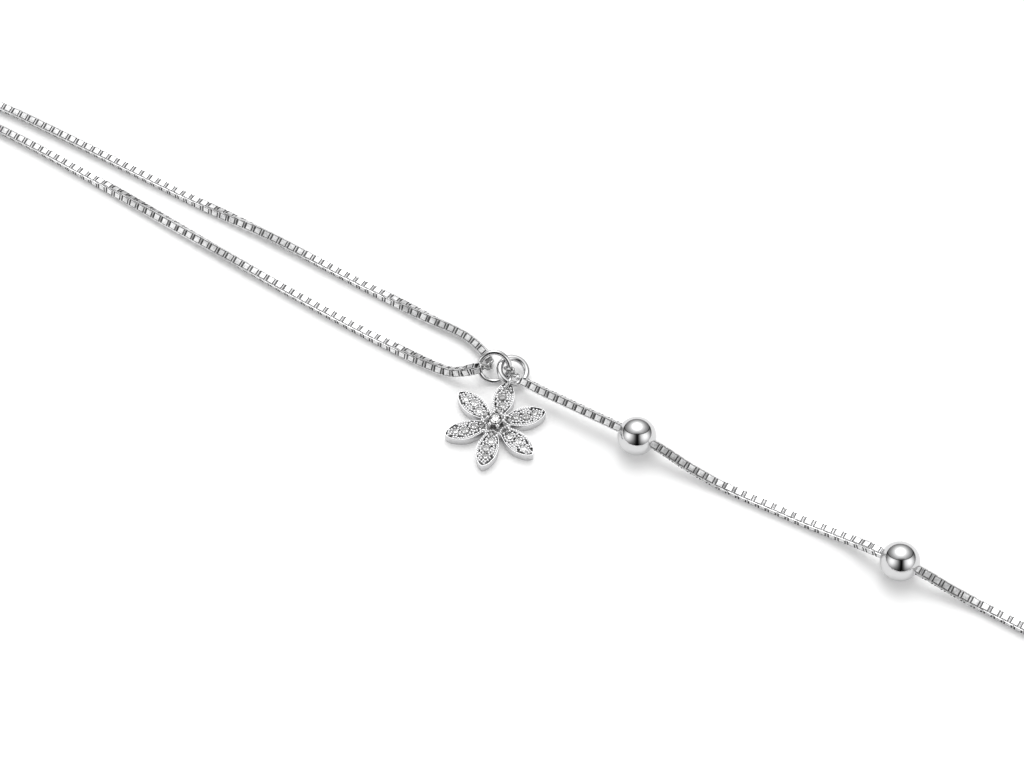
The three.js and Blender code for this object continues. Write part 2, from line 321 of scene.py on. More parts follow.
# Painted shade: near-black silver for the pavé bed and for the centre's neck and hollow.
bedPaintedShade = metal("bedPaintedShade", (0.2, 0.2, 0.2), rough=0.35, spread=0.08, grain=4000, bump=0.2)
clearStone = crystal("clearStone", 2.15)


linkSizes = {  # in mm, as every size below is unless it says otherwise
    "length": 0.8,
    "height": 0.7,
    "band": 0.51,
    "wall": 0.08,
    "bend": 0.035,
    "groove": (0.228, 0.308),  # from and to, on both sides of each plate's middle
    "grooveReach": 0.2,  # half a groove's length
    "grooveDepth": 0.045,
    "grooveSlope": 0.008,
    "hook": 0.3,  # a link hangs on its neighbours this far from its middle
    "border": 0.045,  # width of the slope round each plate's raised middle
    "rise": 0.005,
    "pitch": 0.409,
    "first": 0.1,  # how far along its route a strand's first link stands
    "lift": 0.035,  # keeps the corners of a sloping link off the floor
}

outerRoute = [
    (-0.42, 5.3, 0.76), (-0.52, 6.05, 0.5), (-1.1, 6.98, 0.44), (-2.03, 7.98, 0.4), (-3.46, 8.95, 0.37),
    (-4.87, 9.7, 0.37), (-11.69, 13.9, 0.37), (-18.6, 18.17, 0.37), (-23.65, 21.03, 0.37),
    (-36.04, 28.4, 0.37), (-41.56, 31.52, 0.37), (-45.2, 33.2, 0.37), (-48, 31.8, 0.37),
    (-48.8, 28.8, 0.37), (-48.2, 25, 0.37), (-45.5, 12, 0.37), (-42.6, -6, 0.37), (-40.2, -22, 0.37),
    (-38.3, -30, 0.37), (-33, -35, 0.37), (-27, -36.3, 0.37), (-23.4, -36, 0.6), (-21.29, -35.74, 1.1),
]

innerRoute = [
    (-0.48, 4.93, 1.2), (-0.86, 4.66, 1.6), (-1.45, 4.42, 1.72), (-2.1, 4.38, 1.48), (-2.95, 4.55, 0.97),
    (-3.8, 4.86, 0.62), (-5.1, 5.55, 0.4), (-5.93, 5.98, 0.37), (-9.12, 7.9, 0.37), (-15.6, 12.02, 0.37),
    (-23.8, 17.52, 0.37), (-36.83, 26.33, 0.37), (-41.3, 29.06, 0.37), (-44.4, 30.9, 0.37),
    (-46.7, 29.5, 0.37), (-46.6, 25.8, 0.37), (-43.9, 11.6, 0.37), (-41.1, -6.3, 0.37),
    (-38.8, -21.7, 0.37), (-37, -29, 0.37), (-32.4, -33.6, 0.37), (-27, -34.6, 0.37),
    (-23.4, -34.3, 0.6), (-21.29, -34.26, 1.1),
]

beadedRoute = [
    (1.7, 3.72, 1.4), (3.36, 2.65, 1.4), (5.4, 1.5, 1.4), (7.45, 0.32, 1.43), (9.34, -0.76, 1.48),
    (12.26, -2.5, 1.45), (14.85, -4.1, 0.85), (17.81, -5.72, 0.37), (22.23, -8, 0.37),
    (26.58, -10.3, 0.75), (28.53, -11.69, 1.45), (31.47, -13.39, 1.45), (33.6, -14.5, 0.85),
    (35.85, -15.7, 0.42), (38.56, -17.36, 0.37), (42.2, -19.7, 0.4), (44.4, -22.5, 0.9),
    (45.05, -24.7, 1.45), (45.15, -28.1, 1.45), (44.6, -31, 0.7), (42.2, -33.8, 0.37), (38, -35.2, 0.37),
    (33.4, -35.4, 0.6), (30.3, -35.3, 1.47), (26.9, -35.3, 1.47), (23.8, -35.2, 0.6),
    (17.5, -35, 0.37), (11.3, -35, 0.6), (8.2, -35, 1.47), (4.8, -35, 1.47), (1.7, -35, 0.6),
    (-4, -35, 0.37), (-8.2, -35, 0.6), (-11.03, -35, 1.1),
]

leanPlans = {  # how far the top plates lean toward the viewer: distance along the strand, degrees
    "outer": [
        (0, 22), (2, 24), (3.5, 25), (5, 28), (5.8, 31), (7.6, 45), (9, 60), (10.6, 76), (11.6, 84),
        (13, 90), (15.6, 98), (18, 103), (19, 110), (21.7, 114), (24, 125), (25.5, 138),
        (27.4, 160), (29, 172), (30.6, 178), (33, 184), (37, 190), (41, 195), (43, 198), (47, 200),
        (53, 180), (400, 180)],
    "inner": [
        (0, -15), (1.5, -18), (2.6, -33), (4.5, -40), (6.4, -33), (8.8, -10), (10, -4), (12.3, 3),
        (15.6, 8), (20, 13), (23.2, 19), (25.4, 27), (27, 33), (28.7, 38), (31.8, 46), (35, 58),
        (37.1, 74), (38.1, 83), (39.2, 90), (42.3, 100), (45.5, 105), (48.6, 110), (400, 110)],
    "beaded": [
        (0, 38), (10, 38), (11.5, 30), (13.3, 22), (17, 18), (19, 11), (21.5, 5), (24, 2), (31, 0),
        (33.4, 17), (36.5, 23), (38.3, 18), (40, 12), (42.8, 7), (44, 5), (400, 5)],
}


def smoothRoute(route, perSpan=16):  # a centripetal curve through every point of the route
    points = [inMm(*point) for point in route]
    points = [points[0] * 2 - points[1], *points, points[-1] * 2 - points[-2]]
    line = []
    for k in range(len(points) - 3):
        a, b, c, d = points[k:k + 4]
        t1 = math.sqrt((b - a).length)
        t2 = t1 + math.sqrt((c - b).length)
        t3 = t2 + math.sqrt((d - c).length)
        for step in range(perSpan):
            t = t1 + (t2 - t1) * step / perSpan
            ab = a.lerp(b, t / t1)
            bc = b.lerp(c, (t - t1) / (t2 - t1))
            cd = c.lerp(d, (t - t2) / (t3 - t2))
            abc = ab.lerp(bc, t / t2)
            bcd = bc.lerp(cd, (t - t1) / (t3 - t1))
            line.append(abc.lerp(bcd, (t - t1) / (t2 - t1)))
    line.append(points[-2])
    return line


def stationsAlong(line, first, pitch, hook):  # places and directions of links that hang along it
    distances = [0]
    for a, b in zip(line, line[1:]):
        distances.append(distances[-1] + (b - a).length)

    def pointAt(distance):
        k = min(max(bisect_right(distances, distance), 1), len(line) - 1)
        share = (distance - distances[k - 1]) / (distances[k] - distances[k - 1])
        return line[k - 1].lerp(line[k], share)

    stations = []
    wanted = first
    while wanted <= distances[-1]:
        back, front = pointAt(wanted - hook), pointAt(wanted + hook)
        stations.append((wanted, (back + front) / 2, (front - back).normalized()))
        wanted += pitch
    return stations


def leanAt(plan, distance):
    for (s0, r0), (s1, r1) in zip(plan, plan[1:]):
        if distance <= s1:
            return math.radians(r0 + (r1 - r0) * (distance - s0) / (s1 - s0))
    return math.radians(plan[-1][1])


def makeLink():  # a square loop of flat band, its hole along Y, with two grooves across each plate
    startFresh()
    wall = linkSizes["wall"]
    sides = inMm(linkSizes["length"] - wall, linkSizes["band"], linkSizes["height"] - wall)
    bpy.ops.mesh.primitive_cube_add(size=1, scale=sides)
    link = bpy.context.object
    bpy.ops.object.transform_apply(location=False, rotation=False, scale=True)
    bpy.ops.object.mode_set(mode="EDIT")
    pick("faces", lambda face: abs(face.normal.y) > 0.9)
    bpy.ops.mesh.delete(type="ONLY_FACE")
    pick("edges", lambda edge: abs(edge.verts[0].co.y - edge.verts[1].co.y) > 0.1 * mm)
    bpy.ops.mesh.bevel(offset=linkSizes["bend"] * mm, segments=1)
    bpy.ops.object.mode_set(mode="OBJECT")
    solid = link.modifiers.new("band", "SOLIDIFY")
    solid.thickness = wall * mm
    solid.offset = 0
    solid.use_even_offset = True
    bake(link)
    link.data.materials.append(linkSilver)
    link.data.materials.append(linkPaintedShade)
    nearSurface = linkSizes["height"] / 2 * mm * 0.99
    near, far = linkSizes["groove"]

    def onPlate(face, low, high):  # an outer face whose middle lies that far from the link's, lengthwise
        centre = face.calc_center_median()
        flat = abs(face.normal.z) > 0.9 and abs(centre.z) > nearSurface
        return flat and low * mm < abs(centre.x) + 0.001 * mm < high * mm

    def inGroove(face):
        reach = linkSizes["grooveReach"] * mm
        return onPlate(face, near, far) and abs(face.calc_center_median().y) < reach

    def split(test, distance, direction):  # where the chosen faces meet a plane
        pick("faces", test)
        bpy.ops.mesh.bisect(plane_co=inMm(*(distance * direction)), plane_no=direction)

    def shade(test):
        pick("faces", test)
        bpy.context.object.active_material_index = 1
        bpy.ops.object.material_slot_assign()

    bpy.ops.object.mode_set(mode="EDIT")
    lengthwise, crosswise = Vector((1, 0, 0)), Vector((0, 1, 0))
    for end in (-1, 1):
        split(lambda face: onPlate(face, 0, 1), end * near, lengthwise)
        split(lambda face: onPlate(face, 0, 1), end * far, lengthwise)
    for end in (-1, 1):
        split(lambda face: onPlate(face, near, far), end * linkSizes["grooveReach"], crosswise)
    # Painted shade on the inner faces and the groove bottoms, where the loop's own shade falls.
    shade(lambda face: face.normal.dot(face.calc_center_median()) < 0 or inGroove(face))
    pick("faces", inGroove)
    bpy.ops.mesh.inset(
        thickness=linkSizes["grooveSlope"] * mm, depth=-linkSizes["grooveDepth"] * mm,
        use_individual=True)
    pick("faces", lambda face: onPlate(face, 0, near))
    bpy.ops.mesh.inset(
        thickness=linkSizes["border"] * mm, depth=linkSizes["rise"] * mm, use_even_offset=True)
    middleReach = (linkSizes["band"] / 2 - linkSizes["border"]) * mm
    # Painted shade along the long edges of each plate's raised middle, as dark outline lines.
    shade(lambda face: onPlate(face, 0, near) and abs(face.calc_center_median().y) > middleReach)
    bpy.ops.object.mode_set(mode="OBJECT")
    return smoothed(link, 40)


def placeOn(place, along, lean):  # X runs along the chain, and the top leans toward the viewer
    up = Vector((0, 0, 1))
    side = up.cross(along).normalized()
    up = along.cross(side)
    turn = Matrix((along, side, up)).transposed()
    toViewer = -1 if side.y < 0 else 1
    return Matrix.Translation(place) @ turn.to_4x4() @ Matrix.Rotation(lean * toViewer, 4, "X")


foldSizes = {  # small round links where the folded chain turns through the thin ring
    "outer": 0.75,  # how far they go along each strand
    "inner": 1.25,
    "radius": 0.24,
    "wire": 0.115,
}


def chainOf(link, route, plan, first, foldReach=0):  # each link a quarter turn from the last
    copies = []
    half = linkSizes["height"] / 2 + linkSizes["rise"]
    band = linkSizes["band"] / 2
    pitch, hook = linkSizes["pitch"] * mm, linkSizes["hook"] * mm
    stations = stationsAlong(smoothRoute(route), first * mm, pitch, hook)
    for number, (walked, place, along) in enumerate(stations):
        lean = leanAt(plan, walked / mm)
        turned = lean % (math.pi / 2)
        least, most = sorted((math.cos(turned), math.sin(turned)))
        corner = half * most + band * least
        place.z = max(place.z, (corner + linkSizes["lift"]) * mm)  # clear of the floor
        stand = placeOn(place, along, lean + (number % 2) * math.pi / 2)
        if walked < foldReach * mm:
            hole = stand.to_3x3() @ Vector((0, 1, 0))
            radius, wire = foldSizes["radius"], foldSizes["wire"]
            # The fold links wear the darker silver: painted shade for their dark cells.
            copies.append(wireLoop(place, hole, radius, wire, foldSilverPaintedShade, sides=8, steps=20))
        else:
            copies.append(copyAt(link, stand))
    return copies[::-1]


def wireLoop(place, axis, radius, wire, finish, sides=14, steps=40):  # a closed loop of round wire
    startFresh()
    bpy.ops.mesh.primitive_circle_add(
        vertices=sides, radius=wire * mm, location=(radius * mm, 0, 0), rotation=(math.pi / 2, 0, 0))
    ring = bpy.context.object
    bake(ring)
    bpy.ops.object.mode_set(mode="EDIT")
    bpy.ops.mesh.select_all(action="SELECT")
    bpy.ops.mesh.spin(steps=steps, angle=2 * math.pi, center=(0, 0, 0), axis=(0, 0, 1))
    bpy.ops.mesh.select_all(action="SELECT")
    bpy.ops.mesh.remove_doubles(threshold=0.001 * mm)
    bpy.ops.mesh.normals_make_consistent(inside=False)
    bpy.ops.object.mode_set(mode="OBJECT")
    ring.matrix_world = Matrix.Translation(place) @ axis.to_track_quat("Z", "Y").to_matrix().to_4x4()
    bake(ring)
    ring.data.materials.append(finish)
    return smoothed(ring, 60)


endEyeSizes = {"radius": 0.5, "wire": 0.13, "overlap": 0.03}


def endEye(route):  # the upright loop at a chain's end, round the clasp's wire
    last = inMm(*route[-1])
    along = last - inMm(*route[-2])
    along.z = 0
    along.normalize()
    place = last + along * (endEyeSizes["radius"] - endEyeSizes["overlap"]) * mm
    across = Vector((-along.y, along.x, 0))
    return wireLoop(place, across, endEyeSizes["radius"], endEyeSizes["wire"], linkSilver)


chainRing = {"radius": 1.18, "wire": 0.205, "place": (-0.12, 4.93, 1.14), "slope": 50, "lean": 0}
charmRing = {"radius": 1.09, "wire": 0.26, "place": (1.36, 4.76, 0.84), "slope": 10, "lean": 15}


def ringAxis(ring):
    axis = Vector((0, 0, 1))
    axis.rotate(Quaternion((1, 0, 0), math.radians(ring["slope"])))
    axis.rotate(Quaternion((0, 1, 0), math.radians(ring["lean"])))
    return axis


def wirePoint(ring, bearing):  # the point of a ring's wire that lies in a direction on the floor
    angle = math.radians(bearing)
    outward = Vector((math.cos(angle), math.sin(angle), 0))
    axis = ringAxis(ring)
    outward = (outward - axis * outward.dot(axis)).normalized()
    return inMm(*ring["place"]) + outward * ring["radius"] * mm


startSizes = {
    "firstLink": 0.72,  # how far along its route the beaded chain's first box link stands
    "bearing": -10,  # where on the thin ring the first small link hangs
    "radius": 0.34,
    "laterRadius": 0.272,
    "wire": 0.11,
    "spots": (0.35, 0.75),  # the next two small links, as shares of the way to the ball
    "ball": 0.21,
    "ballFlatness": 0.9,
    "ballShift": (0, -0.03, 0.12),
}


def startLinks():  # three small links and the solder ball that join the beaded chain to the thin ring
    sizes = startSizes
    ballPlace = inMm(*beadedRoute[0]) + inMm(*sizes["ballShift"])
    place = wirePoint(chainRing, sizes["bearing"])
    tangent = ringAxis(chainRing).cross(place - inMm(*chainRing["place"])).normalized()
    along = ballPlace - place
    along = (along - tangent * along.dot(tangent)).normalized()
    side = along.cross(tangent)
    # The small start links wear the same darker silver: painted shade.
    pieces = [wireLoop(place, tangent, sizes["radius"], sizes["wire"], foldSilverPaintedShade)]
    for axis, share in zip((side, tangent), sizes["spots"]):
        spot = place.lerp(ballPlace, share)
        pieces.append(wireLoop(spot, axis, sizes["laterRadius"], sizes["wire"], foldSilverPaintedShade))
    startFresh()
    bpy.ops.mesh.primitive_uv_sphere_add(
        segments=20, ring_count=14, radius=sizes["ball"] * mm, location=ballPlace)
    ball = bpy.context.object
    bpy.ops.transform.resize(value=(1, 1, sizes["ballFlatness"]))
    bake(ball)
    ball.data.materials.append(linkSilver)
    return [*pieces, smoothed(ball, 60)]


def makeChains():
    link = makeLink()
    outer = chainOf(link, outerRoute, leanPlans["outer"], linkSizes["first"], foldSizes["outer"])
    outer = joined([*outer, endEye(outerRoute)], "outerStrand")
    settle(outer, "folded_chain_outer")
    inner = chainOf(link, innerRoute, leanPlans["inner"], linkSizes["first"], foldSizes["inner"])
    inner = joined([*inner, endEye(innerRoute)], "innerStrand")
    settle(inner, "folded_chain_inner")
    beaded = chainOf(link, beadedRoute, leanPlans["beaded"], startSizes["firstLink"])
    beaded = joined([*beaded, *startLinks(), endEye(beadedRoute)], "beadedStrand")
    settle(beaded, "beaded_chain")
    throwAway(link)


makeChains()
print("chains are linked")


def makeRings():
    rings = (("thinRing", "chain_ring", chainRing), ("thickRing", "charm_ring", charmRing))
    for name, node, ring in rings:
        place = inMm(*ring["place"])
        piece = wireLoop(
            place, ringAxis(ring), ring["radius"], ring["wire"], ringSilver, sides=24, steps=96)
        piece.name = name
        dress(piece, ringSilver, node)


makeRings()
print("rings are closed")


beadSizes = {
    "radius": 1.5,
    "bore": 0.52,
    "rim": 0.05,
    "stations": (4, 10, 17, 23, 28),  # each bead sits between this point of its route and the next
}


def makeBead():  # a polished ball drilled along Z
    startFresh()
    radius = beadSizes["radius"]
    bpy.ops.mesh.primitive_uv_sphere_add(segments=56, ring_count=40, radius=radius * mm)
    bead = bpy.context.object
    bpy.ops.object.mode_set(mode="EDIT")
    reach = math.sqrt(radius ** 2 - beadSizes["bore"] ** 2) * mm
    for end in (1, -1):
        bpy.ops.mesh.select_all(action="SELECT")
        bpy.ops.mesh.bisect(plane_co=(0, 0, end * reach), plane_no=(0, 0, end), clear_outer=True)
    pick("edges", lambda edge: edge.is_boundary)
    bpy.ops.mesh.bridge_edge_loops()
    pick("edges", lambda edge: edge.calc_face_angle(0) > math.radians(50))
    bpy.ops.mesh.bevel(offset=beadSizes["rim"] * mm, segments=3)
    bpy.ops.mesh.select_all(action="SELECT")
    bpy.ops.mesh.normals_make_consistent(inside=False)
    bpy.ops.object.mode_set(mode="OBJECT")
    return smoothed(bead, 40)


def makeBeads():
    bead = makeBead()
    for number, station in enumerate(beadSizes["stations"], 1):
        before = inMm(*beadedRoute[station])
        after = inMm(*beadedRoute[station + 1])
        along = after - before
        along.z = 0
        place = (before + after) / 2
        place.z = beadSizes["radius"] * mm
        turn = along.to_track_quat("Z", "Y").to_matrix().to_4x4()
        piece = copyAt(bead, Matrix.Translation(place) @ turn)
        piece.name = f"bead{number}"
        bake(piece)
        dress(piece, beadSilver, f"bead_{number}")
    throwAway(bead)


makeBeads()
print("beads are threaded")


petalSizes = {
    "count": 6,
    "step": 60,  # degrees from one petal to the next
    "reach": 4.0,
    "hangingReach": 3.85,
    "halfWidth": 0.84,
    "start": 0.25,  # where its sides would meet inside the boss
    "lean": 1.13,  # above 1, the widest place moves toward the tip
    "fullness": 0.82,
    "tipRound": 0.34,  # length over which the tip closes
    "tipGrow": 0.2,  # how much further the sides would meet if the tip weren't round
    "root": 0.95,  # where the petal starts in the middle boss
    "turn": 75,  # direction of the petal that hangs on the bail
    "thickness": 0.8,
    "rim": 0.048,
    "rimBevel": 0.016,
    "rimDepth": 0.05,  # what lies above this is rim, painted lighter as a highlight
    "bedDrop": 0.34,
    "stations": 24,  # points along each side
}


def halfWidthAt(along, reach):  # a leaf shape with a rounded tip
    start = petalSizes["start"]
    share = (along - start) / (reach + petalSizes["tipGrow"] - start)
    if not start < along < reach:
        return 0
    lobe = math.sin(math.pi * share ** petalSizes["lean"])
    half = petalSizes["halfWidth"] * lobe ** petalSizes["fullness"]
    past = max(0, 1 - (reach - along) / petalSizes["tipRound"])
    return half * math.sqrt(1 - past ** 2)


def petalOutline(reach):  # both sides of a petal from root to tip and back, in mm along X
    start = petalSizes["start"]
    count = petalSizes["stations"]
    side = []
    for k in range(count):
        along = start + (reach - start) * (0.5 - 0.5 * math.cos(math.pi * (k + 0.5) / count))
        side.append((along, halfWidthAt(along, reach)))
    return [(start, 0), *[(x, -y) for x, y in side], (reach, 0), *side[::-1]]


def makePetal(reach):
    outline = petalOutline(reach)
    startFresh()
    bpy.ops.mesh.primitive_circle_add(vertices=len(outline), radius=mm)
    petal = bpy.context.object
    for vertex, (x, y) in zip(petal.data.vertices, outline):
        vertex.co = inMm(x, y, 0)
    thickness = petalSizes["thickness"] * mm
    bpy.ops.object.mode_set(mode="EDIT")
    bpy.ops.mesh.select_all(action="SELECT")
    bpy.ops.mesh.edge_face_add()
    bpy.ops.mesh.extrude_region_move(TRANSFORM_OT_translate={"value": (0, 0, thickness)})
    bpy.ops.mesh.select_all(action="SELECT")
    bpy.ops.mesh.normals_make_consistent(inside=False)
    pick("faces", lambda face: face.normal.z > 0.9)
    bpy.ops.mesh.inset(thickness=petalSizes["rim"] * mm, use_even_offset=True)
    bpy.ops.mesh.extrude_region_move(
        TRANSFORM_OT_translate={"value": (0, 0, -petalSizes["bedDrop"] * mm)})
    nearTop = thickness - petalSizes["rimDepth"] * mm
    pick("edges", lambda edge: edge.calc_face_angle(0) > math.radians(60) and middle(edge).z > nearTop)
    bpy.ops.mesh.bevel(offset=petalSizes["rimBevel"] * mm, segments=2)
    bpy.ops.mesh.select_all(action="SELECT")
    bpy.ops.mesh.bisect(
        plane_co=(petalSizes["root"] * mm, 0, 0), plane_no=(-1, 0, 0), use_fill=True, clear_outer=True)
    bpy.ops.object.mode_set(mode="OBJECT")
    petal.data.materials.append(wallSilver)
    petal.data.materials.append(rimSilverPaintedLight)
    petal.data.materials.append(bedPaintedShade)
    # Painted shade on the bed between the stones, for the darkness of the recess.
    for face in petal.data.polygons:
        # Painted highlight: the rim gets the lighter silver, the walls the plain one.
        if face.center.z > nearTop:
            face.material_index = 1
        elif face.normal.z > 0.9:
            face.material_index = 2
    return smoothed(petal, 40)


stoneSizes = {  # angles in degrees, lengths as shares of the girdle's radius
    "crownAngle": 34.5,
    "starAngle": 21,
    "upperAngle": 41,
    "pavilionAngle": 41,
    "lowerAngle": 42.5,
    "table": 0.58,
    "girdle": 0.03,
    "mainReach": 0.985,  # where the main facets meet the girdle
    "sink": 0.32,  # how far a set stone's girdle lies below its top
    "proud": 0.04,  # in mm, how far its top stands above the petal
    "tip": 8,  # how far it leans, each in its own direction
    "turn": 0.7,  # in radians, how much further each stone is turned than the last
}

petalStones = [  # distance from the flower's middle, distance off the petal's line, radius
    {"along": 1.08, "aside": 0.04, "radius": 0.25},
    {"along": 1.66, "aside": -0.1, "radius": 0.36},
    {"along": 2.42, "aside": 0.1, "radius": 0.39},
    {"along": 3.14, "aside": -0.06, "radius": 0.31},
]


def cut(tilt, bearing, through):  # takes off all that lies outside a facet's plane
    tilt = math.radians(tilt)
    bearing = math.radians(bearing)
    flat = Vector((math.cos(bearing), math.sin(bearing), 0))
    normal = flat * math.sin(tilt) + Vector((0, 0, math.cos(tilt)))
    radius, height = through
    bpy.ops.mesh.select_all(action="SELECT")
    bpy.ops.mesh.bisect(
        plane_co=flat * radius + Vector((0, 0, height)), plane_no=normal,
        use_fill=True, clear_outer=True, threshold=0.000001)


def makeBrilliant():  # a round brilliant of girdle radius 1 m, table up, girdle at height 0
    startFresh()
    bpy.ops.mesh.primitive_cylinder_add(vertices=32, radius=1, depth=3)
    stone = bpy.context.object
    bpy.ops.object.mode_set(mode="EDIT")
    top, reach = stoneSizes["girdle"], stoneSizes["mainReach"]
    eighth = 360 / 8
    crownRise = (1 - stoneSizes["table"]) * math.tan(math.radians(stoneSizes["crownAngle"]))
    tableHeight = top + crownRise
    cut(0, 0, (0, tableHeight))
    for k in range(8):
        cut(stoneSizes["crownAngle"], eighth * k, (reach, top))
        cut(180 - stoneSizes["pavilionAngle"], eighth * k, (reach, -top))
    for k in range(8):
        cut(stoneSizes["starAngle"], eighth * (k + 0.5), (stoneSizes["table"] * reach, tableHeight))
    for k in range(16):
        cut(stoneSizes["upperAngle"], eighth * (k + 0.5) / 2, (1.0, top))
        cut(180 - stoneSizes["lowerAngle"], eighth * (k + 0.5) / 2, (1.0, -top))
    bpy.ops.mesh.select_all(action="SELECT")
    bpy.ops.mesh.remove_doubles(threshold=0.0005)
    bpy.ops.mesh.normals_make_consistent(inside=False)
    bpy.ops.object.mode_set(mode="OBJECT")
    return stone


grainSizes = {
    "radius": 0.12,
    "top": 0.88,
    "cut": 0.3,  # the head is cut this far below its middle, as a share of its radius
    "post": 3,  # and the post below it is this long, as a share of the same
    "clear": 0.035,  # from a stone's edge to a grain's middle
    "bossClear": 0.09,
    "prongClear": 0.1,
    "apart": 0.19,  # between the middles of neighbours
    "fromRim": 0.132,  # from a petal's edge to a grain's middle
    "from": 1.05,  # the innermost place on a petal
    "step": 0.05,  # of the grid of places that are tried
    "halfRow": 18,  # places each side of the petal's line
    "turnStep": 15,  # degrees between the places tried round a stone
    "bossStep": 0.04,  # between the rings of places that are tried on the boss
    "bossTurnStep": 3,
    "slack": 0.01,
}


def makeGrain():  # a post with a bright round head
    startFresh()
    bpy.ops.mesh.primitive_uv_sphere_add(segments=9, ring_count=7, radius=mm)
    grain = bpy.context.object
    bpy.ops.object.mode_set(mode="EDIT")
    bpy.ops.mesh.bisect(plane_co=(0, 0, -grainSizes["cut"] * mm), plane_no=(0, 0, -1), clear_outer=True)
    pick("edges", lambda edge: edge.is_boundary)
    bpy.ops.mesh.extrude_region_move(TRANSFORM_OT_translate={"value": (0, 0, -grainSizes["post"] * mm)})
    bpy.ops.object.mode_set(mode="OBJECT")
    return smoothed(grain, 60)


def polar(radius, degrees):
    return radius * math.cos(math.radians(degrees)), radius * math.sin(math.radians(degrees))


def grainPlaces(stones, reach):  # packed round the stones, along the rim, then wherever there is room
    step, slack = grainSizes["step"], grainSizes["slack"]
    fromRim, clear = grainSizes["fromRim"], grainSizes["clear"]
    wanted = []
    for stone in stones:
        away = stone["radius"] + clear
        for turn in range(45, 405, grainSizes["turnStep"]):
            x, y = polar(away, turn)
            wanted.append((stone["along"] + x, stone["aside"] + y))
    columns = [grainSizes["from"] + step * k for k in range(int(reach / step))]
    for x in columns:
        y = halfWidthAt(x, reach) - fromRim
        wanted += [(x, y), (x, -y)]
    for x in columns:
        wanted += [(x, k * step) for k in range(-grainSizes["halfRow"], grainSizes["halfRow"])]

    def clearOfRim(x, y):  # measured in four directions, because the edge slopes
        for angle in (0, 0.5, 1, 1.5):
            ahead = halfWidthAt(x + fromRim * math.cos(angle), reach) + slack
            if abs(y) + fromRim * math.sin(angle) >= ahead:
                return False
        return True

    places = []
    for x, y in wanted:
        clearOfStones = all(
            math.hypot(x - stone["along"], y - stone["aside"]) > stone["radius"] + clear - slack
            for stone in stones)
        clearOfGrains = all(math.hypot(x - a, y - b) > grainSizes["apart"] for a, b in places)
        clearOfBoss = math.hypot(x, y) > centreSizes["cupRadius"]
        if clearOfRim(x, y) and clearOfStones and clearOfGrains and clearOfBoss:
            places.append((x, y))
    return places


def bossGrainPlaces():  # the same on the boss, in rings from its edge inward
    stone = petalStones[0]
    halfStep = petalSizes["step"] // 2
    taken = []
    for k in range(petalSizes["count"]):
        petalLine = petalSizes["turn"] + petalSizes["step"] * k
        taken.append((*polar(stone["along"], petalLine), stone["radius"]))
        prong = polar(centreSizes["prongCircle"], petalLine + halfStep)
        taken.append((*prong, grainSizes["prongClear"]))
    places = []
    radius = centreSizes["cupRadius"]
    firstTurn = petalSizes["turn"] + halfStep
    while radius > centreSizes["prongCircle"]:
        radius -= grainSizes["bossStep"]
        for turn in range(firstTurn, firstTurn + 360, grainSizes["bossTurnStep"]):
            x, y = polar(radius, turn)
            free = all(math.hypot(x - a, y - b) > away + grainSizes["bossClear"] for a, b, away in taken)
            if free and all(math.hypot(x - a, y - b) > grainSizes["apart"] for a, b in places):
                places.append((x, y))
    return places


def grainAt(grain, x, y, turn):
    place = Matrix.Translation(inMm(x, y, grainSizes["top"] - grainSizes["radius"]))
    piece = copyAt(grain, turn @ place @ Matrix.Scale(grainSizes["radius"], 4))
    # Grains wear the lighter silver: painted light.
    piece.data.materials.append(grainSilverPaintedLight)
    return piece


def makeFlower():
    brilliant = makeBrilliant()
    grain = makeGrain()
    metalParts = []
    stones = []
    for k in range(petalSizes["count"]):
        reach = petalSizes["hangingReach"] if k == 0 else petalSizes["reach"]
        turn = Matrix.Rotation(math.radians(petalSizes["turn"] + petalSizes["step"] * k), 4, "Z")
        petal = makePetal(reach)
        petal.matrix_world = turn
        metalParts.append(bake(petal))
        side = 1 if k % 2 == 0 else -1
        row = [{**stone, "aside": side * stone["aside"]} for stone in petalStones]
        for stone in row:
            height = petalSizes["thickness"] + stoneSizes["proud"] - stoneSizes["sink"] * stone["radius"]
            place = Matrix.Translation(inMm(stone["along"], stone["aside"], height))
            spin = Matrix.Rotation(stoneSizes["turn"] * len(stones), 4, "Z")
            tip = Matrix.Rotation(math.radians(stoneSizes["tip"]), 4, "X")
            stand = turn @ place @ spin @ tip
            stones.append(copyAt(brilliant, stand @ Matrix.Scale(stone["radius"] * mm, 4)))
        metalParts += [grainAt(grain, x, y, turn) for x, y in grainPlaces(row, reach)]
    metalParts += [grainAt(grain, x, y, Matrix()) for x, y in bossGrainPlaces()]
    centreMetal, centreStone = makeCentre(brilliant)
    body = joined([*metalParts, *centreMetal, makeBail()], "flowerMetal")
    settle(body, "flower_charm")
    gems = joined([*stones, centreStone], "flowerStones")
    dress(gems, clearStone, "flower_charm")
    throwAway(brilliant)
    throwAway(grain)


centreSizes = {
    "stoneRadius": 0.41,
    "tableHeight": 1.52,
    "cupRadius": 1.13,  # the boss that the petals meet
    "cupStep": 0.74,
    "neck": 0.5,
    "neckFlare": 0.02,
    "neckFoot": 0.8,
    "neckTop": 1.36,
    "wall": 0.04,
    "hollow": 0.3,
    "edge": 0.025,
    "paintedShadeHeights": (0.703, 1.31),  # the neck's outer wall gets painted shade between these
    "paintedShadeInside": 0.47,  # and so does the hollow
    "prongFoot": 0.5,
    "prongRadius": 0.09,
    "prongBall": 0.155,
    "prongCircle": 0.62,
}


